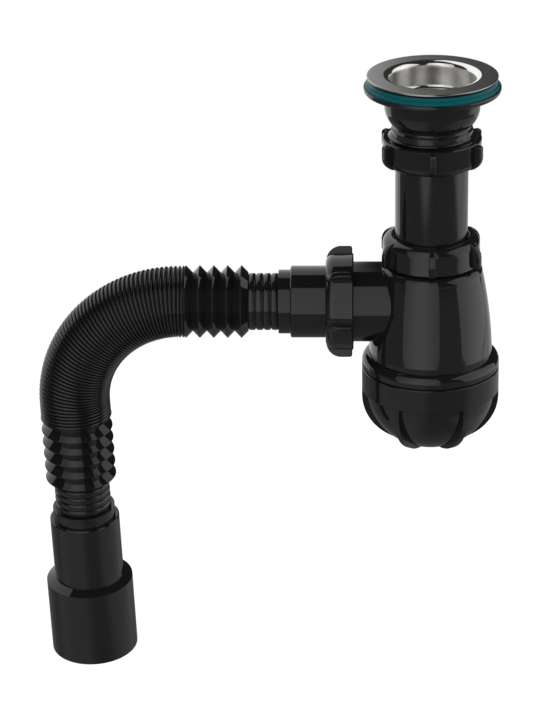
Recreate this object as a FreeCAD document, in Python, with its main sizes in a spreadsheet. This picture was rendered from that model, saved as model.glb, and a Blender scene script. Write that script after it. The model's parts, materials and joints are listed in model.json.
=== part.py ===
import FreeCAD, Part
import math
import os
import re
import Sketcher

# A bottle trap under a sink: strainer waste, inlet tube, bottle with a screwed cup, side branch
# and a corrugated hose with a 40/50 tail. Millimetres, +Z up. The origin is the middle of the
# face on which the sink lies, and the side branch points along -X.

SIZES = {
    # Strainer of pressed steel sheet
    "strainer_dia": 71,
    "strainer_bore": 46,
    "strainer_sheet": 0.8,
    "strainer_roll": 3.4,
    "strainer_depth": 15,
    "strainer_edge": 0.4,
    "floor_round": 3,
    "hub_rise": 3,
    "hub_slope": 3,
    "hub_land": 1.5,
    "drain_hole_dia": 8,
    "drain_holes": 6,
    # Clamp screw and its brass nut insert
    "screw_dia": 6,
    "screw_length": 26,
    "screw_head_dia": 11,
    "screw_head_rim": 1,
    "screw_crown": 2,
    "screw_slot": 1.4,
    "slot_depth": 1.6,
    "insert_wall": 1.2,
    # Gasket under the sink
    "seat_gap": 2.3,
    "gasket_thick": 2.9,
    "gasket_foot": 1,
    "gasket_waist": 1,
    "gasket_inset": 0.9,
    "lip_width": 1.3,
    "lip_slope": 0.4,
    # Outlet body: dished rim, bowl, threaded spigot and spider
    "rim_reach": 1.7,
    "rim_thick": 3.3,
    "rim_slope": 3.5,
    "rim_round": 1.8,
    "rim_edge": 0.5,
    "outlet_wall": 1.9,
    "neck_fillet": 1.5,
    "neck_draft": 0.2,
    "bowl_round": 14,
    "throat_wall": 2.2,
    "throat_length": 1.15,
    "spigot_wall": 3.2,
    "thread_show": 5,
    "spider_gap": 0.4,
    "spoke_height": 9,
    "spoke_width": 2.4,
    "spoke_root": 0.8,
    "spokes": 4,
    "hub_wall": 2.3,
    # Union nuts, three alike
    "nut_height": 15.4,
    "nut_wall": 2.6,
    "nut_floor": 2.2,
    "nut_round": 4.6,
    "nut_draft": 0.35,
    "nut_lip": 0.7,
    "nut_edge": 0.6,
    "lug_proud": 3.8,
    "lug_width": 3.4,
    "lug_start": 0.3,
    "lug_rise": 8.2,
    "lug_drop": 0.7,
    "lug_tip": 1.4,
    "lug_edge": 0.7,
    "lug_root": 1.6,
    "lugs": 6,
    "upper_lug_turn": 30,
    "branch_lug_turn": -21,
    # Inlet tube and its flat seal
    "tube_dia": 40,
    "tube_wall": 2,
    "tube_show": 41.2,
    "tube_dip": 30.4,
    "flange_thick": 2.2,
    "flat_seal_thick": 2,
    # Slip rings, tapered seals and the necks that they close
    "ring_thick": 1.5,
    "seal_collar": 2,
    "mouth_flare": 1.3,
    "mouth_depth": 3.4,
    "mouth_wall": 0.4,
    # Bottle
    "shoulder_gap": 1,
    "shoulder_proud": 1.5,
    "shoulder_round": 5,
    "belly_dia": 68.4,
    "belly_straight": 2.8,
    "belly_bulge": 277,
    "bottle_wall": 2.2,
    "collar_reach": 4,
    "collar_drop": 37.2,
    "collar_height": 3,
    "collar_rise": 4.4,
    "collar_round": 4.6,
    "collar_edge": 0.4,
    "skirt_length": 12.6,
    # Side branch
    "branch_reach": 24,
    "branch_root": 5,
    # Bottom cup and its seal ring
    "band_height": 14,
    "band_wall": 2.4,
    "band_edge": 0.6,
    "band_floor": 1.5,
    "cup_rim_edge": 0.5,
    "dome_inset": 2.2,
    "dome_base": 6,
    "dome_drop": 3.6,
    "cup_wall": 2.2,
    "rib_width": 3,
    "rib_straight": 3.8,
    "rib_foot": 10.4,
    "rib_sink": 1,
    "ribs": 6,
    "cup_seal_thick": 1.9,
    "recess_cut": 1.2,
    # Sleeves on the two ends of the hose
    "sleeve_insert": 17.2,
    "sleeve_show": 19.4,
    "sleeve_edge": 0.6,
    "sleeve_taper": 4,
    "socket_wall": 1.85,
    "socket_length": 6.65,
    "tail_sleeve_length": 39,
    "tail_dia": 50,
    "tail_length": 48,
    "tail_step": 2.4,
    # Corrugated hose
    "hose_wall": 1.1,
    "hose_plug": 4.75,
    "cuff_dia": 31.8,
    "cuff_ribs": 4,
    "cuff_rib_pitch": 4.2,
    "cuff_groove": 0.9,
    "cuff_groove_width": 0.7,
    "cuff_ramp": 0.8,
    "open_folds": 5,
    "open_pitch": 7.75,
    "open_height": 4.3,
    "open_tip": 0.5,
    "open_root": 0.3,
    "shut_folds": 54,
    "shut_height": 1,
    "shut_tip": 0.9,
    "shut_inset": 0.5,
    "shut_root": 0.25,
    "bend_radius": 61,
    "bend_turn": 91.6,
    "bend_tilt": 4.5,
    "bend_run_out": 12.8,
    # Clearances
    "face_gap": 0.1,
    "running_gap": 0.05,
    "cup_clear": 0.3,
    "bowl_clear": 1.4,
    "gasket_clear": 2.4,
    "screw_clear": 0.3,
    "bore_clear": 0.5,
    "ring_clear": 0.3,
    "side_clear": 0.7,
    "thread_room": 2.2,
    "skirt_clear": 1.3,
    "rim_clear": 0.6,
    "seal_clear": 0.25,
    "branch_clear": 1.4,
    "hose_step": 0.2,
}

# Radii and heights that follow from the sizes. Heights are measured up from the sink's seat.
LAYOUT = {
    # Strainer and screw
    "cup_radius": "strainer_bore / 2 + strainer_sheet",
    "mouth_edge": "strainer_bore / 2 + strainer_roll",
    "strainer_top": "seat_gap + strainer_sheet",
    "strainer_floor": "strainer_top - strainer_depth",
    "hub_top": "strainer_floor + hub_rise",
    "hub_radius": "screw_head_dia / 2 + hub_land",
    "hub_foot": "hub_radius + hub_slope",
    "floor_edge": "strainer_bore / 2 - floor_round",
    "drain_circle": "(hub_foot + floor_edge) / 2",
    "screw_hole": "screw_dia / 2 + screw_clear",
    "screw_seat": "hub_top + running_gap",
    "screw_top": "screw_seat + screw_head_rim + screw_crown",
    "screw_dome": "((screw_head_dia / 2) ^ 2 + screw_crown ^ 2) / (2 * screw_crown)",
    "insert_radius": "screw_dia / 2 + insert_wall",
    # Gasket and outlet
    "rim_radius": "strainer_dia / 2 + rim_reach",
    "rim_bottom": "-gasket_thick - rim_thick",
    "gasket_radius": "rim_radius - gasket_inset",
    "gasket_bore": "cup_radius + gasket_clear",
    "waist_radius": "gasket_radius - gasket_waist",
    "neck_radius": "cup_radius + cup_clear + outlet_wall",
    "neck_top": "rim_bottom - rim_slope",
    "bowl_middle": "neck_radius - bowl_round",
    "bowl_inside": "bowl_round - outlet_wall",
    "bowl_top": "strainer_floor - strainer_sheet - bowl_clear",
    "bowl_bottom": "bowl_top - sqrt(bowl_round ^ 2 - (throat_radius - bowl_middle) ^ 2)",
    "spigot_radius": "thread_root - spigot_wall",
    "throat_radius": "spigot_radius + throat_wall",
    "throat_bottom": "bowl_bottom - throat_length",
    "thread_top": "throat_bottom - (thread_root - throat_radius)",
    "bore_top": "bowl_top - sqrt(bowl_inside ^ 2 - (spigot_radius - bowl_middle) ^ 2)",
    "spider_top": "bore_top - spider_gap",
    "spider_bottom": "spider_top - spoke_height",
    "spider_hub": "insert_radius + hub_wall",
    # Union nuts and what they hold, measured from a nut's closed end
    "tube_radius": "tube_dia / 2",
    "tube_bore": "tube_radius - tube_wall",
    "neck_bore": "tube_radius + bore_clear",
    "mouth_radius": "neck_bore + mouth_flare",
    "thread_root": "mouth_radius + mouth_wall",
    "nut_bore": "thread_root + thread_room",
    "nut_radius": "nut_bore + nut_wall",
    "nut_foot": "nut_radius - nut_draft - nut_round",
    "lug_radius": "nut_radius + lug_proud",
    "lug_top": "nut_height - lug_drop",
    "lug_reach": "lug_radius - nut_foot",
    "lug_round": "(lug_reach ^ 2 + lug_rise ^ 2) / (2 * lug_reach)",
    "fitting_radius": "nut_bore - side_clear",
    "ring_start": "nut_floor + face_gap",
    "ring_end": "ring_start + ring_thick",
    "seal_start": "ring_end + face_gap",
    "seal_seat": "seal_start + seal_collar",
    "seal_tip": "seal_seat + mouth_depth",
    "neck_start": "seal_seat + face_gap",
    # Upper joint
    "upper_nut_bottom": "thread_top - thread_show - nut_height",
    "flange_bottom": "upper_nut_bottom + nut_floor + face_gap",
    "flange_top": "flange_bottom + flange_thick",
    "flat_seal_top": "flange_top + flat_seal_thick",
    "spigot_end": "flat_seal_top + face_gap",
    # Bottle
    "neck_nut_top": "upper_nut_bottom - tube_show",
    "neck_end": "neck_nut_top - neck_start",
    "shoulder": "neck_nut_top - nut_height - shoulder_gap",
    "shoulder_radius": "nut_radius + shoulder_proud",
    "ceiling": "shoulder - bottle_wall",
    "branch_height": "shoulder - branch_clear - thread_root",
    "belly_radius": "belly_dia / 2",
    "belly_inside": "belly_radius - bottle_wall",
    "belly_widest": "collar_shoulder + belly_straight",
    "collar_radius": "belly_radius + collar_reach",
    "collar_bottom": "branch_height - collar_drop",
    "collar_top": "collar_bottom + collar_height",
    "collar_shoulder": "collar_top + collar_rise",
    "skirt_radius": "cup_bore - skirt_clear",
    "skirt_end": "collar_bottom - skirt_length",
    "tube_bottom": "collar_bottom - tube_dip",
    "branch_nut_end": "-belly_radius - branch_reach",
    "branch_end": "branch_nut_end + neck_start",
    # Bottom cup
    "cup_bore": "collar_radius - band_wall",
    "cup_rim": "collar_bottom - rim_clear",
    "cup_seal_top": "collar_bottom - running_gap",
    "cup_seal_bottom": "cup_seal_top - cup_seal_thick",
    "recess_radius": "cup_bore + recess_cut",
    "recess_floor": "cup_seal_bottom - running_gap",
    "band_bottom": "cup_rim - band_height",
    "band_inside": "band_bottom + band_floor",
    "dome_radius": "collar_radius - dome_inset",
    "dome_side": "dome_radius - dome_base",
    "dome_depth": "dome_side + dome_drop",
    "base_round": "(dome_base ^ 2 + dome_depth ^ 2 - dome_side ^ 2) / (2 * dome_drop)",
    "base_middle": "band_bottom + base_round - dome_depth",
    "rib_round": "collar_radius - rib_foot",
    "rib_start": "band_bottom - rib_straight",
    # Sleeves and hose
    "sleeve_start": "branch_nut_end + sleeve_insert",
    "sleeve_end": "sleeve_insert + sleeve_show",
    "socket_rim": "sleeve_end + socket_length",
    "socket_depth": "hose_plug + face_gap",
    "cuff_radius": "cuff_dia / 2",
    "cuff_socket": "cuff_radius + running_gap",
    "socket_radius": "cuff_socket + socket_wall",
    "hose_bore": "cuff_radius - hose_wall - hose_step",
    "tail_start": "socket_length + tail_sleeve_length",
    "tail_wide": "tail_start + tail_step",
    "tail_end": "tail_start + tail_length",
    "open_peak": "cuff_radius + open_height",
    "shut_peak": "open_peak - shut_inset",
    "first_run": "hose_plug + cuff_ribs * cuff_rib_pitch + open_folds * open_pitch",
}

WORD = re.compile(r"[a-z][a-z_]*")

doc = FreeCAD.newDocument("bottle_trap")
sheet = doc.addObject("Spreadsheet::Sheet", "Sizes")
for row, (alias, number) in enumerate(SIZES.items(), start=1):
    sheet.set("A%d" % row, alias)
    sheet.set("B%d" % row, str(number))
    sheet.setAlias("B%d" % row, alias)
doc.recompute()


def in_sizes(formula, prefix=""):
    """The same formula written in driving sizes alone, each with a prefix."""
    def named(match):
        word = match.group()
        if word in LAYOUT:
            return "(%s)" % in_sizes(LAYOUT[word], prefix)
        return prefix + word if word in SIZES else word
    return WORD.sub(named, formula)


def value(formula):
    """The number that a formula stands for."""
    return float(sheet.evalExpression(in_sizes(formula)))


def bound(formula):
    """The formula as an expression on the sheet's cells."""
    return in_sizes(formula, "Sizes.")


def origin_plane(body, role):
    return next(item for item in body.Origin.OriginFeatures if item.Role == role)


def new_sketch(body, name, role, lift=None):
    """A sketch on an origin plane of its own body, moved up the plane by a formula."""
    sketch = body.newObject("Sketcher::SketchObject", body.Name + "_" + name)
    sketch.AttachmentSupport = [(origin_plane(body, role), "")]
    sketch.MapMode = "FlatFace"
    if lift:
        sketch.setExpression("AttachmentOffset.Base.y", bound(lift))
    return sketch


def pin_point(sketch, index, end, across, up):
    """Ties one end of a sketch edge to its two coordinates."""
    places = (("DistanceX", -2, across, "across"), ("DistanceY", -1, up, "up"))
    for kind, axis, formula, word in places:
        if formula == "0":
            sketch.addConstraint(Sketcher.Constraint("PointOnObject", index, end, axis))
            continue
        rule = sketch.addConstraint(Sketcher.Constraint(kind, -1, 1, index, end, value(formula)))
        name = "%s_%d" % (word, index)
        sketch.renameConstraint(rule, name)
        sketch.setExpression("Constraints." + name, bound(formula))


def arc_between(start, finish, radius):
    """The short arc from start to finish, turning left for a positive radius."""
    chord = finish - start
    side = FreeCAD.Vector(-chord.y, chord.x, 0).normalize()
    reach = math.sqrt(radius * radius - chord.Length ** 2 / 4)
    centre = (start + finish) / 2 + side * math.copysign(reach, radius)
    first, last = (start, finish) if radius > 0 else (finish, start)
    angles = [math.atan2(point.y - centre.y, point.x - centre.x) for point in (first, last)]
    circle = Part.Circle(centre, FreeCAD.Vector(0, 0, 1), abs(radius))
    return Part.ArcOfCircle(circle, angles[0], angles[1])


def outline(body, name, corners, role="XZ_Plane", lift=None):
    """A closed sketch. A corner is (across, up), or (across, up, radius of the arc that follows)."""
    sketch = new_sketch(body, name, role, lift)
    points = [FreeCAD.Vector(value(corner[0]), value(corner[1]), 0) for corner in corners]
    ends = []
    for index, corner in enumerate(corners):
        start = points[index]
        finish = points[(index + 1) % len(points)]
        radius = value(corner[2]) if len(corner) == 3 else 0
        edge = arc_between(start, finish, radius) if radius else Part.LineSegment(start, finish)
        sketch.addGeometry(edge, False)
        ends.append((2, 1) if radius < 0 else (1, 2))
    for index, corner in enumerate(corners):
        following = (index + 1) % len(corners)
        joined = Sketcher.Constraint("Coincident", index, ends[index][1], following, ends[following][0])
        sketch.addConstraint(joined)
    for index, corner in enumerate(corners):
        pin_point(sketch, index, ends[index][0], corner[0], corner[1])
        if len(corner) == 3:
            rule = sketch.addConstraint(Sketcher.Constraint("Radius", index, abs(value(corner[2]))))
            name = "round_%d" % index
            sketch.renameConstraint(rule, name)
            sketch.setExpression("Constraints." + name, bound("abs(%s)" % corner[2]))
    return sketch


def new_body(label):
    body = doc.addObject("PartDesign::Body", label)
    body.Label = label
    return body


def turn(body, name, corners, kind="Revolution", axis="V_Axis", lift=None):
    """Turns an outline about an axis of its sketch, to add or (as a Groove) to cut."""
    sketch = outline(body, name + "_outline", corners, lift=lift)
    feature = body.newObject("PartDesign::" + kind, body.Name + "_" + name)
    feature.Profile = sketch
    feature.ReferenceAxis = (sketch, [axis])
    feature.Angle = 360
    return feature


def turned_body(label, corners):
    body = new_body(label)
    turn(body, "turned", corners)
    return body


def fins(body, name, corners, width, count):
    """Flat ribs about the vertical axis: one outline, thickened evenly and repeated."""
    sketch = outline(body, name + "_outline", corners)
    pad = body.newObject("PartDesign::Pad", body.Name + "_" + name)
    pad.Profile = sketch
    pad.SideType = "Symmetric"
    pad.setExpression("Length", bound(width))
    ring = body.newObject("PartDesign::PolarPattern", body.Name + "_" + name + "_ring")
    ring.Originals = [pad]
    ring.Axis = (sketch, ["V_Axis"])
    ring.Angle = 360
    ring.setExpression("Occurrences", bound(count))
    body.Tip = ring
    return ring


def soften(body, name, base, radius, inside):
    """Rounds the edges of fins that run along their flat sides, outside a radius."""
    doc.recompute()
    named = []
    for index, edge in enumerate(base.Shape.Edges, start=1):
        middle = edge.valueAt((edge.FirstParameter + edge.LastParameter) / 2)
        beyond = math.hypot(middle.x, middle.y) > value(inside)
        flat = [face for face in base.Shape.ancestorsOfType(edge, Part.Face) if is_side(face)]
        if beyond and len(flat) == 1:
            named.append("Edge%d" % index)
    fillet = body.newObject("PartDesign::Fillet", body.Name + "_" + name)
    fillet.Base = (base, named)
    fillet.setExpression("Radius", bound(radius))
    body.Tip = fillet


def is_side(face):
    """True for an upright flat face that runs out from the vertical axis."""
    if face.Surface.TypeId != "Part::GeomPlane":
        return False
    normal = face.Surface.Axis
    middle = face.CenterOfMass
    outward = abs(normal.x * middle.x + normal.y * middle.y) / math.hypot(middle.x, middle.y)
    return abs(normal.z) < 0.01 and outward < 0.5


def place(body, rotation=FreeCAD.Rotation(), **formulas):
    """Turns a body, and ties its place along X, Y and Z to formulas."""
    body.Placement = FreeCAD.Placement(FreeCAD.Vector(), rotation)
    for axis, formula in formulas.items():
        body.setExpression("Placement.Base." + axis, bound(formula))


def about(axis, degrees):
    return FreeCAD.Rotation(axis, degrees)


X_AXIS = FreeCAD.Vector(1, 0, 0)
Y_AXIS = FreeCAD.Vector(0, 1, 0)
Z_AXIS = FreeCAD.Vector(0, 0, 1)


def strainer_cup():
    """Pressed steel strainer: flat flange rolled into a cup, with a raised hub and drain holes."""
    body = new_body("strainer_cup")
    turn(body, "pressing", [
        ("screw_hole", "hub_top - strainer_sheet"),
        ("hub_radius", "hub_top - strainer_sheet"),
        ("hub_foot", "strainer_floor - strainer_sheet"),
        ("floor_edge", "strainer_floor - strainer_sheet", "floor_round + strainer_sheet"),
        ("cup_radius", "strainer_floor + floor_round"),
        ("cup_radius", "strainer_top - strainer_roll", "strainer_sheet - strainer_roll"),
        ("mouth_edge", "seat_gap"),
        ("strainer_dia / 2", "seat_gap"),
        ("strainer_dia / 2", "strainer_top - strainer_edge", "strainer_edge"),
        ("strainer_dia / 2 - strainer_edge", "strainer_top"),
        ("mouth_edge", "strainer_top", "strainer_roll"),
        ("strainer_bore / 2", "strainer_top - strainer_roll"),
        ("strainer_bore / 2", "strainer_floor + floor_round", "-floor_round"),
        ("floor_edge", "strainer_floor"),
        ("hub_foot", "strainer_floor"),
        ("hub_radius", "hub_top"),
        ("screw_hole", "hub_top"),
    ])
    sketch = new_sketch(body, "drain_hole", "XY_Plane")
    middle = FreeCAD.Vector(value("drain_circle"), 0, 0)
    hole = sketch.addGeometry(Part.Circle(middle, Z_AXIS, value("drain_hole_dia / 2")), False)
    pin_point(sketch, hole, 3, "drain_circle", "0")
    rule = sketch.addConstraint(Sketcher.Constraint("Radius", hole, value("drain_hole_dia / 2")))
    sketch.renameConstraint(rule, "hole_radius")
    sketch.setExpression("Constraints.hole_radius", bound("drain_hole_dia / 2"))
    pocket = body.newObject("PartDesign::Pocket", "drain_hole")
    pocket.Profile = sketch
    pocket.Type = "ThroughAll"
    pocket.SideType = "Symmetric"
    ring = body.newObject("PartDesign::PolarPattern", "drain_hole_ring")
    ring.Originals = [pocket]
    ring.Axis = (sketch, ["N_Axis"])
    ring.Angle = 360
    ring.setExpression("Occurrences", bound("drain_holes"))
    body.Tip = ring


def clamp_screw():
    """Slotted pan-head screw that draws the strainer down onto the sink."""
    body = new_body("clamp_screw")
    turn(body, "turned", [
        ("0", "screw_seat - screw_length"),
        ("screw_dia / 2", "screw_seat - screw_length"),
        ("screw_dia / 2", "screw_seat"),
        ("screw_head_dia / 2", "screw_seat"),
        ("screw_head_dia / 2", "screw_seat + screw_head_rim", "screw_dome"),
        ("0", "screw_top"),
    ])
    slot = outline(body, "slot_outline", [
        ("-screw_head_dia", "screw_top - slot_depth"),
        ("screw_head_dia", "screw_top - slot_depth"),
        ("screw_head_dia", "screw_top + slot_depth"),
        ("-screw_head_dia", "screw_top + slot_depth"),
    ])
    pocket = body.newObject("PartDesign::Pocket", "screw_slot_cut")
    pocket.Profile = slot
    pocket.SideType = "Symmetric"
    pocket.setExpression("Length", bound("screw_slot"))


def brass_insert():
    """Threaded brass bush in the hub of the outlet's spider."""
    turned_body("brass_insert", [
        ("screw_dia / 2 + running_gap", "spider_bottom"),
        ("insert_radius", "spider_bottom"),
        ("insert_radius", "spider_top"),
        ("screw_dia / 2 + running_gap", "spider_top"),
    ])


def sink_gasket():
    """Rubber gasket: a flat seat for the sink inside a soft raised lip."""
    turned_body("sink_gasket", [
        ("gasket_bore", "-gasket_thick"),
        ("gasket_radius", "-gasket_thick"),
        ("gasket_radius", "gasket_foot - gasket_thick"),
        ("waist_radius", "gasket_foot - gasket_thick + gasket_waist"),
        ("waist_radius", "seat_gap - face_gap"),
        ("waist_radius - lip_width", "seat_gap - face_gap"),
        ("waist_radius - lip_width - lip_slope", "0"),
        ("gasket_bore", "0"),
    ])


def outlet_body():
    """Moulded outlet: dished rim, bowl, threaded spigot and a spider with a hub for the screw."""
    body = new_body("outlet_body")
    turn(body, "turned", [
        ("spigot_radius", "spigot_end"),
        ("thread_root", "spigot_end"),
        ("thread_root", "thread_top"),
        ("throat_radius", "throat_bottom"),
        ("throat_radius", "bowl_bottom", "bowl_round"),
        ("neck_radius", "bowl_top"),
        ("neck_radius + neck_draft", "neck_top", "-neck_fillet"),
        ("neck_radius + neck_draft + neck_fillet", "neck_top + neck_fillet"),
        ("rim_radius - rim_round", "rim_bottom", "rim_round"),
        ("rim_radius", "rim_bottom + rim_round"),
        ("rim_radius", "-gasket_thick - rim_edge", "rim_edge"),
        ("rim_radius - rim_edge", "-gasket_thick"),
        ("neck_radius - outlet_wall", "-gasket_thick"),
        ("neck_radius - outlet_wall", "bowl_top", "-bowl_inside"),
        ("spigot_radius", "bore_top"),
    ])
    fins(body, "spoke", [
        ("0", "spider_bottom"),
        ("spigot_radius + spoke_root", "spider_bottom"),
        ("spigot_radius + spoke_root", "spider_top"),
        ("0", "spider_top"),
    ], "spoke_width", "spokes")
    turn(body, "hub", [
        ("0", "spider_bottom"),
        ("spider_hub", "spider_bottom"),
        ("spider_hub", "spider_top"),
        ("0", "spider_top"),
    ])
    turn(body, "insert_hole", [
        ("0", "spider_bottom - face_gap"),
        ("insert_radius + running_gap", "spider_bottom - face_gap"),
        ("insert_radius + running_gap", "spider_top + face_gap"),
        ("0", "spider_top + face_gap"),
    ], kind="Groove")


def union_nut(label):
    """Union nut with six finger lugs. Its closed end is at height 0 and its open rim is up."""
    body = new_body(label)
    turn(body, "turned", [
        ("neck_bore", "nut_lip", "nut_lip"),
        ("neck_bore + nut_lip", "0"),
        ("nut_foot", "0", "nut_round"),
        ("nut_foot + nut_round", "nut_round"),
        ("nut_radius", "nut_height - nut_edge"),
        ("nut_radius - nut_edge", "nut_height"),
        ("nut_bore", "nut_height"),
        ("nut_bore", "nut_floor"),
        ("neck_bore", "nut_floor"),
    ])
    lugs = fins(body, "lug", [
        ("nut_foot", "lug_start", "lug_round"),
        ("lug_radius", "lug_start + lug_rise"),
        ("lug_radius", "lug_top - lug_tip", "lug_tip"),
        ("lug_radius - lug_tip", "lug_top"),
        ("nut_radius - lug_root", "lug_top"),
        ("nut_radius - lug_root", "nut_floor"),
    ], "lug_width", "lugs")
    soften(body, "lug_edge", lugs, "lug_edge", "nut_radius")
    return body


def inlet_tube():
    """Inlet tube, flanged at the top and dipping into the bottle."""
    turned_body("inlet_tube", [
        ("tube_bore", "tube_bottom"),
        ("tube_radius", "tube_bottom"),
        ("tube_radius", "flange_bottom"),
        ("fitting_radius", "flange_bottom"),
        ("fitting_radius", "flange_top"),
        ("tube_bore", "flange_top"),
    ])


def upper_seal():
    """Flat rubber ring between the inlet tube's flange and the outlet spigot."""
    turned_body("upper_seal", [
        ("spigot_radius", "flange_top"),
        ("thread_root", "flange_top"),
        ("thread_root", "flat_seal_top"),
        ("spigot_radius", "flat_seal_top"),
    ])


def slip_ring(label):
    """Hard ring between a nut and its tapered seal, measured from the nut's closed end."""
    return turned_body(label, [
        ("tube_radius + ring_clear", "ring_start"),
        ("fitting_radius", "ring_start"),
        ("fitting_radius", "ring_end"),
        ("tube_radius + ring_clear", "ring_end"),
    ])


def tapered_seal(label):
    """Rubber seal: a collar on the neck's end and a taper that enters its mouth."""
    return turned_body(label, [
        ("tube_radius + running_gap", "seal_start"),
        ("fitting_radius", "seal_start"),
        ("fitting_radius", "seal_seat"),
        ("mouth_radius - face_gap", "seal_seat"),
        ("neck_bore - face_gap", "seal_tip"),
        ("tube_radius + running_gap", "seal_tip"),
    ])


def bottle_body():
    """Moulded bottle: threaded neck, swelling belly, collar, threaded skirt and side branch."""
    body = new_body("bottle_body")
    turn(body, "turned", [
        ("0", "skirt_end"),
        ("skirt_radius", "skirt_end"),
        ("skirt_radius", "collar_bottom"),
        ("collar_radius - collar_edge", "collar_bottom"),
        ("collar_radius", "collar_bottom + collar_edge"),
        ("collar_radius", "collar_top", "collar_round"),
        ("belly_radius", "collar_shoulder"),
        ("belly_radius", "belly_widest", "belly_bulge"),
        ("shoulder_radius", "shoulder - shoulder_round", "shoulder_round"),
        ("shoulder_radius - shoulder_round", "shoulder"),
        ("thread_root", "shoulder"),
        ("thread_root", "neck_end"),
        ("0", "neck_end"),
    ])
    turn(body, "branch", [
        ("branch_end", "0"),
        ("-branch_root", "0"),
        ("-branch_root", "thread_root"),
        ("branch_end", "thread_root"),
    ], axis="H_Axis", lift="branch_height")
    turn(body, "cavity", [
        ("0", "skirt_end - face_gap"),
        ("belly_inside", "skirt_end - face_gap"),
        ("belly_inside", "belly_widest", "belly_bulge - bottle_wall"),
        ("shoulder_radius - bottle_wall", "ceiling"),
        ("neck_bore", "ceiling"),
        ("neck_bore", "neck_end - mouth_depth"),
        ("mouth_radius", "neck_end"),
        ("mouth_radius", "neck_end + face_gap"),
        ("0", "neck_end + face_gap"),
    ], kind="Groove")
    turn(body, "branch_bore", [
        ("branch_end - face_gap", "0"),
        ("-branch_root", "0"),
        ("-branch_root", "neck_bore"),
        ("branch_end + mouth_depth", "neck_bore"),
        ("branch_end", "mouth_radius"),
        ("branch_end - face_gap", "mouth_radius"),
    ], kind="Groove", axis="H_Axis", lift="branch_height")


def dome_join(sink):
    """Where the dome's two arcs meet, on a surface that lies a depth inside the outer one."""
    share = "(base_round - %s) / (base_round - dome_side)" % sink
    return "dome_base * " + share, "base_middle - (base_round - dome_depth) * " + share


def bottom_cup():
    """Screw-on cup: threaded band, domed bottom of two tangent arcs, and six grip ribs."""
    body = new_body("bottom_cup")
    turn(body, "turned", [
        ("0", "band_bottom - dome_depth", "base_round"),
        dome_join("0") + ("dome_side",),
        ("dome_radius", "band_bottom"),
        ("collar_radius - band_edge", "band_bottom"),
        ("collar_radius", "band_bottom + band_edge"),
        ("collar_radius", "cup_rim - cup_rim_edge", "cup_rim_edge"),
        ("collar_radius - cup_rim_edge", "cup_rim"),
        ("recess_radius", "cup_rim"),
        ("recess_radius", "recess_floor"),
        ("cup_bore", "recess_floor"),
        ("cup_bore", "band_inside"),
        ("dome_radius - cup_wall", "band_inside"),
        ("dome_radius - cup_wall", "band_bottom", "cup_wall - dome_side"),
        dome_join("cup_wall") + ("cup_wall - base_round",),
        ("0", "band_bottom - dome_depth + cup_wall"),
    ])
    fins(body, "rib", [
        ("rib_foot", "rib_start - rib_round", "rib_round"),
        ("collar_radius", "rib_start"),
        ("collar_radius", "band_bottom + band_edge"),
        ("dome_radius - rib_sink", "band_bottom + band_edge"),
        ("dome_radius - rib_sink", "band_bottom", "rib_sink - dome_side"),
        dome_join("rib_sink") + ("rib_sink - base_round",),
        ("rib_foot", "base_middle - sqrt((base_round - rib_sink) ^ 2 - rib_foot ^ 2)"),
    ], "rib_width", "ribs")


def cup_seal():
    """Rubber ring in the recess of the cup's rim, under the bottle's collar."""
    turned_body("cup_seal", [
        ("skirt_radius + seal_clear", "cup_seal_bottom"),
        ("recess_radius - seal_clear", "cup_seal_bottom"),
        ("recess_radius - seal_clear", "cup_seal_top"),
        ("skirt_radius + seal_clear", "cup_seal_top"),
    ])


def hose_spigot():
    """Sleeve that slides in the branch, with a socket that holds the hose's cuff."""
    return turned_body("hose_spigot", [
        ("tube_bore", "0"),
        ("tube_radius", "0"),
        ("tube_radius", "sleeve_end - sleeve_edge"),
        ("tube_radius - sleeve_edge", "sleeve_end"),
        ("socket_radius", "sleeve_end"),
        ("socket_radius", "socket_rim"),
        ("cuff_socket", "socket_rim"),
        ("cuff_socket", "socket_rim - socket_depth"),
        ("hose_bore", "socket_rim - socket_depth"),
        ("hose_bore", "sleeve_end"),
        ("tube_bore", "sleeve_end - sleeve_taper"),
    ])


def tail_sleeve():
    """Tail on the hose's lower end: a 40 mm sleeve that steps out to 50 mm."""
    return turned_body("tail_sleeve", [
        ("cuff_socket", "0"),
        ("socket_radius", "0"),
        ("socket_radius", "socket_length"),
        ("tube_radius - sleeve_edge", "socket_length"),
        ("tube_radius", "socket_length + sleeve_edge"),
        ("tube_radius", "tail_start"),
        ("tail_dia / 2", "tail_wide"),
        ("tail_dia / 2", "tail_end"),
        ("tail_dia / 2 - tube_wall", "tail_end"),
        ("tail_dia / 2 - tube_wall", "tail_wide + tube_wall / 2"),
        ("tube_bore", "tail_start + tube_wall / 2"),
        ("tube_bore", "socket_length + sleeve_taper"),
        ("hose_bore", "socket_length"),
        ("hose_bore", "socket_depth"),
        ("cuff_socket", "socket_depth"),
    ])


def cuff_rib():
    """One rounded rib of a cuff, as its pitch and its (length, outer radius) pairs."""
    pitch = value("cuff_rib_pitch")
    radius = value("cuff_radius")
    low = value("cuff_groove_width / 2")
    high = low + value("cuff_ramp")
    groove = radius - value("cuff_groove")
    return pitch, [(low, groove), (high, radius), (pitch - high, radius), (pitch - low, groove)]


def open_fold():
    """One fold of the hose's straight ends."""
    pitch = value("open_pitch")
    radius = value("cuff_radius")
    root = value("open_root / 2")
    tip = value("open_tip / 2")
    peak = value("open_peak")
    return pitch, [(root, radius), (pitch / 2 - tip, peak), (pitch / 2 + tip, peak), (pitch - root, radius)]


def shut_fold():
    """One fold of the bend, where the folds lie close together."""
    pitch = (bend_length() + value("bend_run_out")) / value("shut_folds")
    peak = value("shut_peak")
    valley = peak - value("shut_height")
    root = value("shut_root / 2")
    tip = value("shut_tip / 2")
    return pitch, [(root, valley), (pitch / 2 - tip, peak), (pitch / 2 + tip, peak), (pitch - root, valley)]


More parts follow.
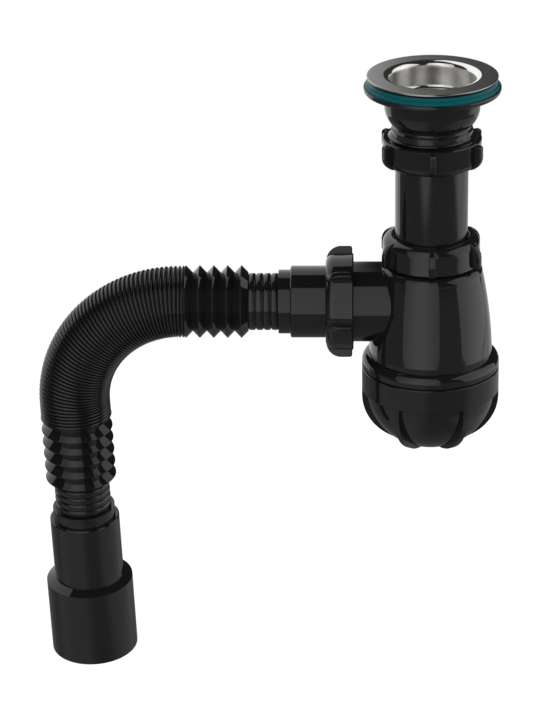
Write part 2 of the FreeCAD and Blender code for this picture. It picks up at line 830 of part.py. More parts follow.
def hose_profile():
    """The hose from end to end, as (length along it, outer radius) pairs."""
    cuff = value("cuff_radius")
    start = value("hose_plug")
    stations = [(0, cuff), (start, cuff)]
    cuff_run = (cuff_rib(), value("cuff_ribs"))
    open_run = (open_fold(), value("open_folds"))
    shut_run = (shut_fold(), value("shut_folds"))
    for (pitch, shape), count in (cuff_run, open_run, shut_run, open_run, cuff_run):
        for fold in range(int(count)):
            stations += [(start + length, radius) for length, radius in shape]
            start += pitch
    return stations + [(start + value("cuff_groove_width / 2"), cuff), (start + value("hose_plug"), cuff)]


def bend_length():
    return value("bend_radius") * math.radians(value("bend_turn"))


def hose_frame(length):
    """Place on the hose's middle line at a length along it: its Z is the line's direction."""
    ahead = FreeCAD.Vector(-1, 0, 0)
    tilt = math.radians(value("bend_tilt"))
    down = FreeCAD.Vector(0, math.sin(tilt), -math.cos(tilt))
    across = ahead.cross(down)
    radius = value("bend_radius")
    straight = value("first_run")
    turned = min(max((length - straight) / radius, 0), math.radians(value("bend_turn")))
    heading = ahead * math.cos(turned) + down * math.sin(turned)
    arc = ahead * (radius * math.sin(turned)) + down * (radius * (1 - math.cos(turned)))
    rest = max(length - straight - radius * turned, 0) if turned else 0
    start = FreeCAD.Vector(value("sleeve_start - socket_rim + hose_plug"), 0, value("branch_height"))
    point = start + ahead * min(length, straight) + arc + heading * rest
    rotation = FreeCAD.Rotation(across, heading.cross(across), heading, "ZXY")
    return FreeCAD.Placement(point, rotation)


def ring_wire(radius, length):
    circle = Part.Wire(Part.Circle(FreeCAD.Vector(), Z_AXIS, radius).toShape())
    circle.Placement = hose_frame(length)
    return circle


def corrugated_hose():
    """Thin-walled hose: ribbed cuffs, open folds at both ends and shut folds round the bend."""
    wall = value("hose_wall")
    stations = hose_profile()
    outer = Part.makeLoft([ring_wire(radius, length) for length, radius in stations], True, True)
    inner = Part.makeLoft([ring_wire(radius - wall, length) for length, radius in stations], True, True)
    hose = doc.addObject("Part::Feature", "corrugated_hose")
    hose.Label = "corrugated_hose"
    hose.Shape = outer.cut(inner)
    return stations[-1][0]


def build():
    """Makes every piece and puts it in its place."""
    strainer_cup()
    clamp_screw()
    brass_insert()
    sink_gasket()
    outlet_body()
    inlet_tube()
    upper_seal()
    bottle_body()
    bottom_cup()
    cup_seal()

    upright = about(Z_AXIS, 0)
    upside_down = about(X_AXIS, 180)
    along_branch = about(Y_AXIS, 90)
    lug_turn = about(Z_AXIS, value("upper_lug_turn"))
    place(union_nut("upper_nut"), lug_turn, z="upper_nut_bottom")
    neck_fittings = ((union_nut("neck_nut"), lug_turn),
                     (slip_ring("neck_slip_ring"), upright),
                     (tapered_seal("neck_seal"), upright))
    for body, spin in neck_fittings:
        place(body, upside_down * spin, z="neck_nut_top")
    branch_fittings = ((union_nut("branch_nut"), about(Z_AXIS, value("branch_lug_turn"))),
                       (slip_ring("branch_slip_ring"), upright),
                       (tapered_seal("branch_seal"), upright))
    for body, spin in branch_fittings:
        place(body, along_branch * spin, x="branch_nut_end", z="branch_height")
    place(hose_spigot(), about(Y_AXIS, -90), x="sleeve_start", z="branch_height")

    hose_length = corrugated_hose()
    tail = tail_sleeve()
    tail.Placement = hose_frame(hose_length - value("hose_plug"))
    doc.recompute()


def sub_parts():
    """The finished pieces: bodies and the hose."""
    return [item for item in doc.Objects if item.TypeId in ("PartDesign::Body", "Part::Feature")]


def check():
    """Stops if any object failed, or a piece is empty or not one valid solid."""
    failed = [item.Name for item in doc.Objects if {"Invalid", "Error"} & set(item.State)]
    if failed:
        raise RuntimeError("failed: " + ", ".join(failed))
    for item in sub_parts():
        if item.Shape.isNull() or not item.Shape.isValid() or len(item.Shape.Solids) != 1:
            raise RuntimeError("not one valid solid: " + item.Label)


def export():
    os.makedirs("parts", exist_ok=True)
    for item in sub_parts():
        item.Shape.exportStep("parts/%s.step" % item.Label)


build()
check()
export()
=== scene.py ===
# Sink bottle trap: black mouldings, steel strainer, teal gasket and a corrugated hose, on white.
# Metres, in the part's own frame: origin in the middle of the sink's seat, +Z up, branch along -X.
# Sizes of the strainer, gasket, hose and threads are written in millimetres.
import json
import math

import bpy
import numpy as np
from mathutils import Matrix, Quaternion, Vector


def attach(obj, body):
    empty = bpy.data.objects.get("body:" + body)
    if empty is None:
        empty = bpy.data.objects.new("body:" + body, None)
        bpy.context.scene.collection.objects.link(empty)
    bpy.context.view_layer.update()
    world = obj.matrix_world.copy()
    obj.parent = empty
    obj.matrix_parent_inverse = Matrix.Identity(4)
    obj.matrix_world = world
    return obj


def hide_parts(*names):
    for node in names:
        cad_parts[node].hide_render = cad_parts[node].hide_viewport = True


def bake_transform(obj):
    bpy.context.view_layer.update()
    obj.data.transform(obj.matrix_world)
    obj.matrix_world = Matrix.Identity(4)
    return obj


MM = 0.001

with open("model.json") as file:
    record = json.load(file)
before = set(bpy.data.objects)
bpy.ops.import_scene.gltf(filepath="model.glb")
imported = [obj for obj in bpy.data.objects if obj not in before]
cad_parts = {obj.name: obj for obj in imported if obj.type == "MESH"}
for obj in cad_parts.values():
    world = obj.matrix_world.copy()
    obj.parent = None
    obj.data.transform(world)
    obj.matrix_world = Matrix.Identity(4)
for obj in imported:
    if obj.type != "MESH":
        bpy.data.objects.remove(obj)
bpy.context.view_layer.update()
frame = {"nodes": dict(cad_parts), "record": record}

# Shader nodes, and the numbers of a colour mix's sockets
COLOUR_A = 6
COLOUR_B = 7
COLOUR_RESULT = 2


def give(tree, socket, setting):
    """Sets a socket to a value, or links another node's output to it."""
    if isinstance(setting, bpy.types.NodeSocket):
        tree.links.new(setting, socket)
    else:
        socket.default_value = setting


def add_node(tree, kind, inputs=None, **settings):
    """A node with its settings and its inputs, which are values or other nodes' outputs."""
    node = tree.nodes.new(kind)
    for name, setting in settings.items():
        setattr(node, name, setting)
    for key, setting in (inputs or {}).items():
        give(tree, node.inputs[key], setting)
    return node


def calculate(tree, operation, *values):
    """The result of one step of arithmetic."""
    return add_node(tree, "ShaderNodeMath", dict(enumerate(values)), operation=operation).outputs[0]


def plus(tree, first, second):
    """The sum of two values."""
    return calculate(tree, "ADD", first, second)


def minus(tree, first, second):
    """The first value less the second."""
    return calculate(tree, "SUBTRACT", first, second)


def times(tree, first, second):
    """The product of two values."""
    return calculate(tree, "MULTIPLY", first, second)


def larger(tree, first, second):
    """The larger of two values."""
    return calculate(tree, "MAXIMUM", first, second)


def between(tree, value, low, high, start=0.0, end=1.0):
    """A value taken from low..high to start..end, smoothly, and held beyond it."""
    spans = {"From Min": low, "From Max": high, "To Min": start, "To Max": end}
    node = add_node(tree, "ShaderNodeMapRange", {"Value": value, **spans}, interpolation_type="SMOOTHSTEP")
    return node.outputs["Result"]


def past(tree, value, span):
    """0 before a span given in millimetres, and 1 past it."""
    low, high = span
    return between(tree, value, low * MM, high * MM)


def mix_colours(tree, share, first, second):
    """Two colours mixed: the first at share 0 and the second at share 1."""
    node = add_node(tree, "ShaderNodeMix", {"Factor": share, COLOUR_A: first, COLOUR_B: second},
                    data_type="RGBA")
    return node.outputs[COLOUR_RESULT]


def place_in_object(tree):
    """The point's place in the part's frame."""
    return add_node(tree, "ShaderNodeTexCoord").outputs["Object"]


def split_place(tree, place):
    """A place's three coordinates."""
    return add_node(tree, "ShaderNodeSeparateXYZ", {"Vector": place}).outputs


def noise(tree, place, scale, detail=3.0):
    """Soft noise, mostly between 0.3 and 0.7."""
    node = add_node(tree, "ShaderNodeTexNoise", {"Vector": place, "Scale": scale, "Detail": detail})
    return node.outputs["Fac"]


def relief(tree, height, strength, depth, base=None):
    """The surface's normal with fine relief, depth in millimetres, over a base normal if one is given."""
    node = add_node(tree, "ShaderNodeBump", {"Height": height, "Strength": strength, "Distance": depth * MM})
    if base is not None:
        give(tree, node.inputs["Normal"], base)
    return node.outputs["Normal"]


def new_material(name):
    """A material with only its output and a Principled shader."""
    made = bpy.data.materials.new(name)
    made.use_nodes = True
    tree = made.node_tree
    tree.nodes.clear()
    shader = add_node(tree, "ShaderNodeBsdfPrincipled")
    add_node(tree, "ShaderNodeOutputMaterial", {"Surface": shader.outputs["BSDF"]})
    return made, tree, shader


def set_inputs(tree, shader, **settings):
    """Sets the shader's inputs, named with underscores for spaces."""
    for key, setting in settings.items():
        give(tree, shader.inputs[key.replace("_", " ")], setting)


# Mouldings of plastic and rubber
NOISE_SPAN = (0.3, 0.7)
GLOSS_PATCHES = 90.0
SKIN_GRAIN = 700.0
SKIN_DEPTH = 0.05
EDGE_SAMPLES = 4


def moulded(name, colour, roughness, grain, edge):
    """Moulded plastic or rubber: softened edges, a faint skin grain and uneven gloss."""
    made, tree, shader = new_material(name)
    place = place_in_object(tree)
    rough = between(tree, noise(tree, place, GLOSS_PATCHES), *NOISE_SPAN, *roughness)
    softened = add_node(tree, "ShaderNodeBevel", {"Radius": edge * MM}, samples=EDGE_SAMPLES)
    skin = relief(tree, noise(tree, place, SKIN_GRAIN), grain, SKIN_DEPTH, softened.outputs["Normal"])
    set_inputs(tree, shader, Base_Color=(*colour, 1.0), Roughness=rough, Normal=skin)
    return made


# Steel of the strainer: radii from its axis and heights above the seat between which its finish changes
MOUTH_TO_FLANGE = (26.0, 26.8)
FLANGE_TO_CUT_EDGE = (35.0, 35.3)
MOUTH_TO_WALL = (23.5, 23.05)
FLOOR_TO_WALL = (-10.8, -9.6)
STEEL_NOISE_SPAN = (0.25, 0.75)
MOUTH_ROUGHNESS = 0.06
FLANGE_ADDED_ROUGHNESS = (0.12, 0.15)
WALL_ADDED_ROUGHNESS = (0.22, 0.30)
RING_GRAIN = 2500.0
RING_STRENGTH = 0.006
RING_DEPTH = 0.02
STREAK_GRAIN = 85.0
STREAK_SPAN = (0.28, 0.70)
STREAK_WAVES = 11.0
STREAK_WAVE_TURN = 0.73
STREAK_WAVE_DEPTH = 0.10
WALL_DULLNESS = 0.42
MOUTH_TONE = (0.90, 0.89, 0.88, 1.0)
FLANGE_TONE = (0.62, 0.615, 0.605, 1.0)
CUT_EDGE_TONE = (0.40, 0.395, 0.39, 1.0)
# Light and dark of the wall's upright bands: partly drawn streaks, partly painted reflection
WALL_LIGHT_STREAK_AND_PAINTED_REFLECTION = (1.0, 0.98, 0.95, 1.0)
WALL_DARK_STREAK_AND_PAINTED_REFLECTION = (0.24, 0.23, 0.22, 1.0)


def strainer_metal(name):
    """Stainless sheet: satin flange with a dull cut edge, polished mouth, drawn wall with upright streaks
    that are partly painted reflections.
    """
    made, tree, shader = new_material(name)
    across, back, height = split_place(tree, place_in_object(tree))
    radius = calculate(tree, "SQRT", plus(tree, times(tree, across, across), times(tree, back, back)))
    flange = past(tree, radius, MOUTH_TO_FLANGE)
    cut_edge = past(tree, radius, FLANGE_TO_CUT_EDGE)
    wall = times(tree, past(tree, radius, MOUTH_TO_WALL), past(tree, height, FLOOR_TO_WALL))
    rings_at = add_node(tree, "ShaderNodeCombineXYZ", {"X": radius})
    streaks_at = add_node(tree, "ShaderNodeCombineXYZ", {"X": across, "Y": back})
    rings = noise(tree, rings_at.outputs[0], RING_GRAIN, detail=0.0)
    streaks = noise(tree, streaks_at.outputs[0], STREAK_GRAIN, detail=1.0)

    satin = between(tree, rings, *STEEL_NOISE_SPAN, *FLANGE_ADDED_ROUGHNESS)
    drawn = between(tree, streaks, *STEEL_NOISE_SPAN, *WALL_ADDED_ROUGHNESS)
    added = plus(tree, times(tree, flange, satin), times(tree, wall, drawn))
    rough = plus(tree, added, MOUTH_ROUGHNESS)
    metallic = minus(tree, 1.0, times(tree, wall, WALL_DULLNESS))
    turned = relief(tree, times(tree, rings, flange), RING_STRENGTH, RING_DEPTH)

    # Upright light and dark bands round the wall: drawn streaks, with painted reflections in their light and
    # dark
    turn = times(tree, calculate(tree, "ARCTAN2", back, across), STREAK_WAVES)
    wave = calculate(tree, "COSINE", minus(tree, turn, STREAK_WAVE_TURN))
    streak_and_reflection_mask = minus(tree, streaks, times(tree, wave, STREAK_WAVE_DEPTH))
    wall_streaks_and_painted_reflections = mix_colours(tree, between(tree, streak_and_reflection_mask, *STREAK_SPAN), WALL_LIGHT_STREAK_AND_PAINTED_REFLECTION, WALL_DARK_STREAK_AND_PAINTED_REFLECTION)
    flange_tone = mix_colours(tree, cut_edge, FLANGE_TONE, CUT_EDGE_TONE)
    rim_tone = mix_colours(tree, flange, MOUTH_TONE, flange_tone)
    tone = mix_colours(tree, wall, rim_tone, wall_streaks_and_painted_reflections)
    set_inputs(tree, shader, Base_Color=tone, Metallic=metallic, Roughness=rough, Normal=turned)
    return made


# Rubber of the gasket: heights above the seat between which shade is painted into its colour
OPEN_TO_TUCKED_SHADE = (0.7, 1.6)
INTO_CREASE = (-1.4, -1.0)
OUT_OF_CREASE = (-0.5, -0.9)
CREASE_PAINTED_SHADE = 0.35
TEAL = (0.004, 0.165, 0.185, 1.0)
# Colour of the painted shade under the flange and in the crease
PAINTED_SHADE_TEAL = (0.0005, 0.006, 0.007, 1.0)
GASKET_PATCHES = 300.0
GASKET_ROUGHNESS = (0.30, 0.40)
GASKET_GRAIN = 0.1
GASKET_SPECULAR = 0.12


def gasket_rubber(name):
    """Teal rubber with painted shade: near black where it is tucked in under the steel flange, and darker in
    the crease round its waist.
    """
    made, tree, shader = new_material(name)
    place = place_in_object(tree)
    height = split_place(tree, place)["Z"]
    # Painted shade: under the flange's edge and in the waist's crease, where shade falls
    crease = times(tree, past(tree, height, INTO_CREASE), past(tree, height, OUT_OF_CREASE))
    painted_shade = larger(tree, past(tree, height, OPEN_TO_TUCKED_SHADE), times(tree, crease, CREASE_PAINTED_SHADE))
    rough = between(tree, noise(tree, place, GASKET_PATCHES), *NOISE_SPAN, *GASKET_ROUGHNESS)
    skin = relief(tree, noise(tree, place, SKIN_GRAIN), GASKET_GRAIN, SKIN_DEPTH)
    set_inputs(tree, shader, Base_Color=mix_colours(tree, painted_shade, TEAL, PAINTED_SHADE_TEAL), Roughness=rough,
               Specular_IOR_Level=GASKET_SPECULAR, Normal=skin)
    return made


# Turned metal of the screw and its insert
TURNED_PATCHES = 1500.0
TURNED_GRAIN = 2500.0
TURNED_STRENGTH = 0.1
TURNED_DEPTH = 0.02
TURNED_ROUGHNESS = (0.25, 0.40)


def turned_metal(name, colour):
    """Small turned metal pieces."""
    made, tree, shader = new_material(name)
    place = place_in_object(tree)
    rough = between(tree, noise(tree, place, TURNED_PATCHES), *NOISE_SPAN, *TURNED_ROUGHNESS)
    skin = relief(tree, noise(tree, place, TURNED_GRAIN), TURNED_STRENGTH, TURNED_DEPTH)
    set_inputs(tree, shader, Base_Color=(*colour, 1.0), Metallic=1.0, Roughness=rough, Normal=skin)
    return made


DARK_STEEL = (0.20, 0.20, 0.21)
BRASS = (0.72, 0.52, 0.22)
SEAL_BLACK = (0.012, 0.012, 0.013)
RING_WHITE = (0.60, 0.60, 0.58)
GLOSS_BLACK = (0.0140, 0.0140, 0.0143)
MATERIALS = {
    "strainer_steel": strainer_metal("strainer_steel"),
    "screw_steel": turned_metal("screw_steel", DARK_STEEL),
    "brass": turned_metal("brass", BRASS),
    "teal_rubber": gasket_rubber("teal_rubber"),
    "seal_rubber": moulded("seal_rubber", SEAL_BLACK, roughness=(0.50, 0.65), grain=0.30, edge=0.2),
    "ring_plastic": moulded("ring_plastic", RING_WHITE, roughness=(0.30, 0.40), grain=0.20, edge=0.2),
    "black_plastic": moulded("black_plastic", GLOSS_BLACK, roughness=(0.05, 0.08), grain=0.04, edge=0.2),
    "hose_plastic": moulded("hose_plastic", GLOSS_BLACK, roughness=(0.03, 0.06), grain=0.03, edge=0.08),
}


def give_finish(item, slot):
    """Puts a slot's material on an object, in place of any other."""
    item.data.materials.clear()
    item.data.materials.append(MATERIALS[slot])


for part in frame["record"]["subparts"]:
    give_finish(frame["nodes"][part["node"]], part["material_slot"])


# Meshes
def new_mesh(name, points, faces, slot):
    """A smooth mesh from points in millimetres."""
    mesh = bpy.data.meshes.new(name)
    mesh.from_pydata([tuple(point) for point in np.asarray(points) * MM], [], faces)
    mesh.shade_smooth()
    mesh.update()
    item = bpy.data.objects.new(name, mesh)
    bpy.context.scene.collection.objects.link(item)
    give_finish(item, slot)
    return item


def skin_rings(rings, closed=False):
    """Points and faces of a skin over rings of points. A closed skin joins its last ring to its first."""
    count = len(rings[0])
    faces = []
    for row in range(len(rings) if closed else len(rings) - 1):
        here = row * count
        after = (row + 1) % len(rings) * count
        for i in range(count):
            j = (i + 1) % count
            faces.append((here + i, here + j, after + j, after + i))
    return np.concatenate(rings), faces


def rounded_line(corners, steps=3, hold=0.3, most=0.42):
    """A line of (length, radius, cut) corners. A corner with a cut is rounded over it on each side, but
    over no more than a share of its two sides, with a point just outside the round to hold them straight."""
    line = [corners[0][:2]]
    for before, corner, after in zip(corners, corners[1:], corners[2:]):
        cut = corner[2]
        if not cut:
            line.append(corner[:2])
            continue
        before, corner, after = np.array(before[:2]), np.array(corner[:2]), np.array(after[:2])
        back = before - corner
        ahead = after - corner
        reach = min(cut, most * np.linalg.norm(back), most * np.linalg.norm(ahead))
        enter = corner + back / np.linalg.norm(back) * reach
        leave = corner + ahead / np.linalg.norm(ahead) * reach
        line.append(enter + (enter - corner) * hold)
        for step in range(steps + 1):
            share = step / steps
            line.append((1 - share) ** 2 * enter + 2 * share * (1 - share) * corner + share ** 2 * leave)
        line.append(leave + (leave - corner) * hold)
    return line + [corners[-1][:2]]


# Corrugated hose, cuff to cuff, with open folds on both sides of its shut ones: peaks and valleys are radii
BRANCH_LEVEL = -128.4
HOSE_START = Vector((-79.5, 0.0, BRANCH_LEVEL))
HOSE_PLUG = 4.75
HOSE_WALL = 1.1
HOSE_SIDES = 112
PLUG_CUT = 0.2
PLUG_STEP = 0.3
LINING_STEP = 3.0
CUFF_RADIUS = 15.9
CUFF_RIBS = 4
CUFF_PITCH = 4.2
CUFF_GROOVE = 0.9
CUFF_GROOVE_CUT = 0.05
CUFF_GROOVE_SHARE = 0.03
CUFF_BULGE = 0.35
CUFF_BULGE_SHARES = (0.11, 0.2, 0.3, 0.4, 0.5, 0.6, 0.7, 0.8, 0.89)
OPEN_FOLDS = 5
OPEN_PITCH = 7.75
OPEN_PEAK = 20.2
OPEN_PEAK_CUT = 0.12
OPEN_PEAK_SHARE = 0.015
OPEN_VALLEY = 16.3
OPEN_VALLEY_CUT = 0.03
VALLEY_FLAT = 0.06
SHUT_FOLDS = 54
SHUT_PEAK = 20.0
SHUT_VALLEY = 18.4
SHUT_HALF_SHARE = 0.44
SHUT_LEAN_STEP = 30
SHUT_CLEAR = 0.3
BEND_RADIUS = 61.0
BEND_TURN = math.radians(91.6)
BEND_TILT = math.radians(4.5)
BEND_RUN_OUT = 12.8
AHEAD = Vector((-1.0, 0.0, 0.0))
DOWN = Vector((0.0, math.sin(BEND_TILT), -math.cos(BEND_TILT)))
ACROSS = AHEAD.cross(DOWN)

# Places along the hose's middle line
OPEN_START = HOSE_PLUG + CUFF_RIBS * CUFF_PITCH
FIRST_RUN = OPEN_START + OPEN_FOLDS * OPEN_PITCH
BEND_END = FIRST_RUN + BEND_RADIUS * BEND_TURN
SPLIT = BEND_END + BEND_RUN_OUT
SHUT_START = FIRST_RUN - OPEN_PITCH / 2 + SHUT_CLEAR
SHUT_END = SPLIT - OPEN_PITCH / 2 - SHUT_CLEAR
CUFF_START = SPLIT + OPEN_FOLDS * OPEN_PITCH
CUFF_END = CUFF_START + CUFF_RIBS * CUFF_PITCH
HOSE_END = CUFF_END + HOSE_PLUG


def hose_place(length):
    """Point on the hose's middle line at a length along it, and the line's direction there."""
    turned = min(max((length - FIRST_RUN) / BEND_RADIUS, 0.0), BEND_TURN)
    heading = AHEAD * math.cos(turned) + DOWN * math.sin(turned)
    arc = AHEAD * (BEND_RADIUS * math.sin(turned)) + DOWN * (BEND_RADIUS * (1 - math.cos(turned)))
    rest = max(length - BEND_END, 0.0)
    return HOSE_START + AHEAD * min(length, FIRST_RUN) + arc + heading * rest, heading


def hose_ring(length, radius):
    """Points round the hose at a length along it."""
    middle, heading = hose_place(length)
    side = heading.cross(ACROSS)
    ring = []
    for step in range(HOSE_SIDES):
        turn = 2 * math.pi * step / HOSE_SIDES
        ring.append(middle + (ACROSS * math.cos(turn) + side * math.sin(turn)) * radius)
    return np.array(ring)


def cuff_rib():
    """One rib of a cuff, bulged between two halves of a groove: (share of the pitch, radius, cut) corners."""
    groove = CUFF_RADIUS - CUFF_GROOVE
    bulge = [(share, CUFF_RADIUS - CUFF_BULGE * (2 * share - 1) ** 2, 0.0) for share in CUFF_BULGE_SHARES]
    return [(CUFF_GROOVE_SHARE, groove, CUFF_GROOVE_CUT), *bulge,
            (1 - CUFF_GROOVE_SHARE, groove, CUFF_GROOVE_CUT)]


def open_fold():
    """One open fold: a sharp valley, then a crest with a narrow flat."""
    return [(0.0, OPEN_VALLEY, OPEN_VALLEY_CUT),
            (0.5 - OPEN_PEAK_SHARE, OPEN_PEAK, OPEN_PEAK_CUT),
            (0.5 + OPEN_PEAK_SHARE, OPEN_PEAK, OPEN_PEAK_CUT)]


def shut_fold():
    """One shut fold: a rounded ridge."""
    ridge = []
    for degrees in range(-90, 91, SHUT_LEAN_STEP):
        lean = math.radians(degrees)
        radius = SHUT_VALLEY + (SHUT_PEAK - SHUT_VALLEY) * math.cos(lean)
        ridge.append((0.5 + SHUT_HALF_SHARE * math.sin(lean), radius, 0.0))
    return ridge


def folds(start, count, pitch, shape):
    """Corners of a run of equal folds, as (length, radius, cut)."""
    run = []
    for fold in range(count):
        run += [(start + (fold + share) * pitch, radius, cut) for share, radius, cut in shape]
    return run


def hose_skin(name, corners):
    """A stretch of the hose: its folded outside, a plain lining and the two ends."""
    outside = [hose_ring(length, radius) for length, radius in rounded_line(corners)]
    start = corners[0][0]
    end = corners[-1][0]
    bore = CUFF_RADIUS - CUFF_GROOVE - HOSE_WALL
    steps = max(2, int((end - start) / LINING_STEP))
    lining = [hose_ring(start + (end - start) * step / steps, bore) for step in range(steps, -1, -1)]
    piece = new_mesh(name, *skin_rings(outside + lining, closed=True), "hose_plastic")
    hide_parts("corrugated_hose")
    return piece


upper_hose = hose_skin("hose_upper", [
    (0.0, CUFF_RADIUS, 0.0),
    (HOSE_PLUG, CUFF_RADIUS, PLUG_CUT),
    *folds(HOSE_PLUG, CUFF_RIBS, CUFF_PITCH, cuff_rib()),
    *folds(OPEN_START, OPEN_FOLDS, OPEN_PITCH, open_fold()),
    *folds(SHUT_START, SHUT_FOLDS, (SHUT_END - SHUT_START) / SHUT_FOLDS, shut_fold()),
    *folds(SPLIT - OPEN_PITCH, 1, OPEN_PITCH, open_fold())[1:],
    (SPLIT - VALLEY_FLAT, OPEN_VALLEY, OPEN_VALLEY_CUT),
    (SPLIT, OPEN_VALLEY, 0.0),
])
lower_hose = hose_skin("hose_lower", [
    (SPLIT, OPEN_VALLEY, 0.0),
    (SPLIT + VALLEY_FLAT, OPEN_VALLEY, OPEN_VALLEY_CUT),
    *folds(SPLIT, OPEN_FOLDS, OPEN_PITCH, open_fold())[1:],
    *folds(CUFF_START, CUFF_RIBS, CUFF_PITCH, cuff_rib()),
    (CUFF_END + PLUG_STEP, CUFF_RADIUS, PLUG_CUT),
    (HOSE_END, CUFF_RADIUS, 0.0),
])
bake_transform(upper_hose)
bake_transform(lower_hose)

# Screw threads
UPWARD = Quaternion((1.0, 0.0, 0.0), 0.0)
ALONG_BRANCH = Quaternion((0.0, 1.0, 0.0), -math.pi / 2)
MAIN_AXIS = (0.0, 0.0, 0.0)
PIPE_THREAD = {"root": 22.2, "crest": 23.9, "pitch": 2.309}
CUP_THREAD = {"root": 34.5, "crest": 35.5, "pitch": 4.0}
THREAD_SUNK = 0.4
THREAD_STEPS_A_TURN = 72
THREAD_RUN_OUT_STEPS = 30

# Half widths of the thread's ridge, as shares of its pitch
RIDGE_TOP = 0.12
RIDGE_FOOT = 0.38
RIDGE_SUNK = 0.42


def thread(name, body, low, high, root, crest, pitch, turn=UPWARD, middle=MAIN_AXIS):
    """A moulded thread ridge from low to high along its axis, running out at both ends."""
    steps = int((high - low) / pitch * THREAD_STEPS_A_TURN)
    sunk = root - THREAD_SUNK
    rings = []
    for step in range(steps + 1):
        level = low + (high - low) * step / steps
        angle = 2 * math.pi * level / pitch
        run_out = min(1.0, step / THREAD_RUN_OUT_STEPS, (steps - step) / THREAD_RUN_OUT_STEPS)
        tip = root + (crest - root) * run_out
        rising = [(sunk, -RIDGE_SUNK), (root, -RIDGE_FOOT), (tip, -RIDGE_TOP)]
        falling = [(radius, -side) for radius, side in reversed(rising)]
        ring = []
        for radius, side in rising + falling:
            point = Vector((radius * math.cos(angle), radius * math.sin(angle), level + side * pitch))
            ring.append(Vector(middle) + turn @ point)
        rings.append(ring)
    points, faces = skin_rings(rings)
    count = len(rings[0])
    last = len(points) - count
    faces += [tuple(range(count)), tuple(last + i for i in reversed(range(count)))]
    ridge = new_mesh(name, points, faces, "black_plastic")
    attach(ridge, body)


thread("outlet_thread", "outlet", low=-39.6, high=-30.0, **PIPE_THREAD)
thread("neck_thread", "bottle", low=-102.6, high=-95.6, **PIPE_THREAD)
thread("branch_thread", "bottle", low=43.4, high=51.0, **PIPE_THREAD,
       turn=ALONG_BRANCH, middle=(0.0, 0.0, BRANCH_LEVEL))
thread("cup_thread", "bottle", low=-176.5, high=-168.5, **CUP_THREAD)

# Camera
CAMERA_PLACE = (-0.02980, -1.54718, 0.50251)
CAMERA_PITCH = math.radians(66.7)
CAMERA_SWING = math.radians(2.036)
camera_data = bpy.data.cameras.new("camera")
camera_data.lens = 150.5
camera_data.sensor_width = 36.0
camera_data.clip_start = 0.05
camera_data.clip_end = 60.0
camera = bpy.data.objects.new("camera", camera_data)
camera.location = CAMERA_PLACE
camera.rotation_mode = "QUATERNION"
camera.rotation_quaternion = (Quaternion((1.0, 0.0, 0.0), CAMERA_PITCH)
                              @ Quaternion((0.0, 1.0, 0.0), CAMERA_SWING))
bpy.context.scene.collection.objects.link(camera)
bpy.context.scene.camera = camera

# Studio: lit panels far off round the trap, a dim room, a white backdrop and a pale floor below
PANEL_EDGE = 0.012
NEAREST_AHEAD = 0.001
FRONT_PANEL = {"facing": -20.5, "half_width": 36.5, "low": -20.5, "high": 66.0,
               "radiance": 1.10, "side_radiance": 0.66, "top_radiance": 0.95, "lean": 0.27}
RIGHT_PANEL = {"facing": 93.2, "half_width": 38.3, "low": -20.5, "high": 60.0,
               "radiance": 1.15, "side_radiance": 0.85, "top_radiance": 0.95, "lean": 0.35}
RIGHT_FOOT = {"facing": 110.0, "half_width": 20.0, "low": -22.0, "high": -19.5,
              "radiance": 0.85, "side_radiance": 0.80, "top_radiance": 0.85}
BACK_PANEL = {"facing": -143.25, "half_width": 36.25, "low": 0.0, "high": 68.0,
              "radiance": 1.05, "side_radiance": 0.95, "top_radiance": 0.95}
DARK_SCREEN = {"facing": 151.0, "half_width": 29.0, "low": -14.0, "high": 66.0, "radiance": 0.03}
LOW_SCREEN = {"facing": 151.0, "half_width": 29.0, "low": -45.0, "high": -14.0, "radiance": 0.60}
BACKDROP = {"facing": -149.5, "half_width": 30.0, "low": -45.0, "high": 0.0, "radiance": 1.0}

# The dim room: the band round the horizon where its light changes, and its light below and above that
HORIZON_SPAN = (-0.10, 0.12)
ROOM_RADIANCE = (0.19, 0.02)

world = bpy.data.worlds.new("room")
world.use_nodes = True
room = world.node_tree
room.nodes.clear()
direction = add_node(room, "ShaderNodeTexCoord").outputs["Generated"]
upward = split_place(room, direction)["Z"]


def along(axis):
    """How far the direction points along an axis."""
    node = add_node(room, "ShaderNodeVectorMath", {0: direction, 1: axis}, operation="DOT_PRODUCT")
    return node.outputs["Value"]


def above(value, bound):
    """1 above a bound and 0 below it, with a narrow soft edge."""
    return between(room, value, bound - PANEL_EDGE, bound + PANEL_EDGE)


def below(value, bound):
    """1 below a bound and 0 above it, with a narrow soft edge."""
    return between(room, value, bound + PANEL_EDGE, bound - PANEL_EDGE)


def panel(facing, half_width, low, high, radiance, side_radiance=None, top_radiance=None, lean=0.0):
    """Where a flat upright panel is seen, and its light. Facing is its angle from the front towards the
    right, low and high its edges above the horizon, all in degrees as seen from the trap. A leaning
    panel widens upwards on its left."""
    turn = math.radians(facing)
    edge = math.tan(math.radians(half_width))
    bottom = math.tan(math.radians(low))
    top = math.tan(math.radians(high))
    ahead = larger(room, along((math.sin(turn), -math.cos(turn), 0.0)), NEAREST_AHEAD)
    sideways = calculate(room, "DIVIDE", along((math.cos(turn), math.sin(turn), 0.0)), ahead)
    rise = calculate(room, "DIVIDE", upward, ahead)
    widened = plus(room, sideways, times(room, rise, lean))
    width = times(room, above(widened, -edge), below(sideways, edge))
    place = times(room, width, times(room, above(rise, bottom), below(rise, top)))
    side_share = (side_radiance or radiance) / radiance
    fading = between(room, calculate(room, "ABSOLUTE", sideways), 0.0, edge, 1.0, side_share)
    level = between(room, rise, bottom, top, radiance, top_radiance or radiance)
    return place, times(room, fading, level)


def mixed(share, first, second):
    """Two levels of light mixed: the first at share 0 and the second at share 1."""
    node = add_node(room, "ShaderNodeMix", {"Factor": share, "A": first, "B": second})
    return node.outputs["Result"]


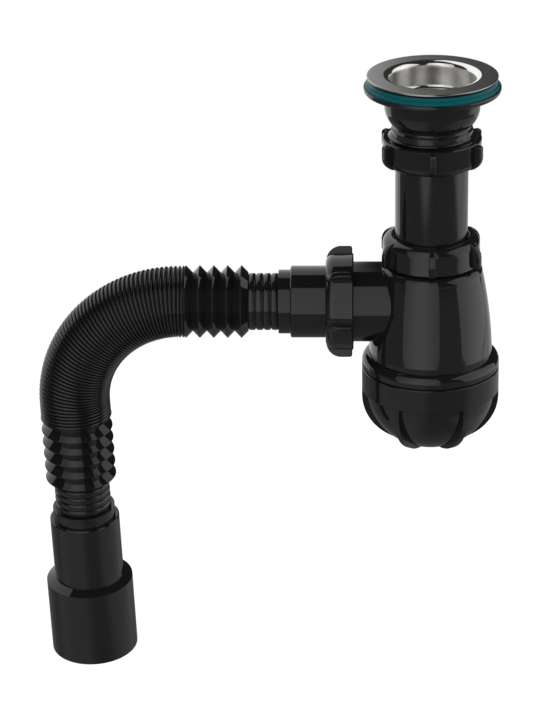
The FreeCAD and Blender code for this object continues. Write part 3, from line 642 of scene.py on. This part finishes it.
light = between(room, upward, *HORIZON_SPAN, *ROOM_RADIANCE)
for sizes in (DARK_SCREEN, LOW_SCREEN, RIGHT_FOOT, FRONT_PANEL, RIGHT_PANEL, BACK_PANEL):
    place, radiance = panel(**sizes)
    light = mixed(place, light, radiance)
behind = panel(**BACKDROP)[0]
path = add_node(room, "ShaderNodeLightPath").outputs
mirrored = larger(room, path["Is Glossy Ray"], path["Is Transmission Ray"])
white = larger(room, path["Is Camera Ray"], times(room, mirrored, behind))
strength = plus(room, times(room, light, minus(room, 1.0, white)), white)
background = add_node(room, "ShaderNodeBackground", {"Color": (1.0, 1.0, 1.0, 1.0), "Strength": strength})
add_node(room, "ShaderNodeOutputWorld", {"Surface": background.outputs[0]})
bpy.context.scene.world = world

# Floor: places are metres to the right of the trap and behind it
FLOOR_LEVEL = -0.90
FLOOR_RADIUS = 1.75
FLOOR_SIDES = 96
FLOOR_TONE = (0.36, 0.36, 0.36, 1.0)
FLOOR_WHITE = 0.90
# Painted light: the floor glows to glossy rays on its left and right, though it is no lamp
PAINTED_SHEEN = 0.20
LEFT_SHEEN_ACROSS = (0.05, -0.40)
LEFT_SHEEN_BACK = (0.3, -0.2)
RIGHT_SHEEN_ACROSS = (0.35, 0.70)
RIGHT_SHEEN_BACK = (-1.0, -0.4)
FAR_SHEEN_ACROSS = (0.90, 1.30)
FAR_SHEEN_SHARE = 0.3


def floor_finish():
    """Pale floor that reads white to the camera, less the trap's shadow, with painted light on either side: a
    glow that only glossy rays see, for reflections in the trap.
    """
    made = bpy.data.materials.new("floor")
    made.use_nodes = True
    tree = made.node_tree
    tree.nodes.clear()
    across, back, _ = split_place(tree, place_in_object(tree))
    left = times(tree, between(tree, across, *LEFT_SHEEN_ACROSS), between(tree, back, *LEFT_SHEEN_BACK))
    far_right = between(tree, across, *FAR_SHEEN_ACROSS, 0.0, FAR_SHEEN_SHARE)
    right_across = plus(tree, between(tree, across, *RIGHT_SHEEN_ACROSS), far_right)
    right = times(tree, right_across, between(tree, back, *RIGHT_SHEEN_BACK))
    # Painted reflection light, seen only by glossy rays
    sheen = times(tree, plus(tree, left, right), PAINTED_SHEEN)
    path = add_node(tree, "ShaderNodeLightPath").outputs
    clear = larger(tree, path["Is Camera Ray"], path["Is Transmission Ray"])
    shown = plus(tree, times(tree, clear, FLOOR_WHITE), times(tree, path["Is Glossy Ray"], sheen))
    pale = add_node(tree, "ShaderNodeBsdfDiffuse", {"Color": FLOOR_TONE})
    glow = add_node(tree, "ShaderNodeEmission", {"Strength": shown})
    both = add_node(tree, "ShaderNodeAddShader", {0: pale.outputs[0], 1: glow.outputs[0]})
    add_node(tree, "ShaderNodeOutputMaterial", {"Surface": both.outputs[0]})
    return made


rim = []
for side in range(FLOOR_SIDES):
    turn = math.tau * side / FLOOR_SIDES
    rim.append((FLOOR_RADIUS * math.cos(turn), FLOOR_RADIUS * math.sin(turn), FLOOR_LEVEL))
floor_mesh = bpy.data.meshes.new("floor")
floor_mesh.from_pydata(rim, [], [tuple(range(FLOOR_SIDES))])
floor = bpy.data.objects.new("floor", floor_mesh)
floor.data.materials.append(floor_finish())
bpy.context.scene.collection.objects.link(floor)

bpy.context.scene.view_settings.view_transform = "Standard"
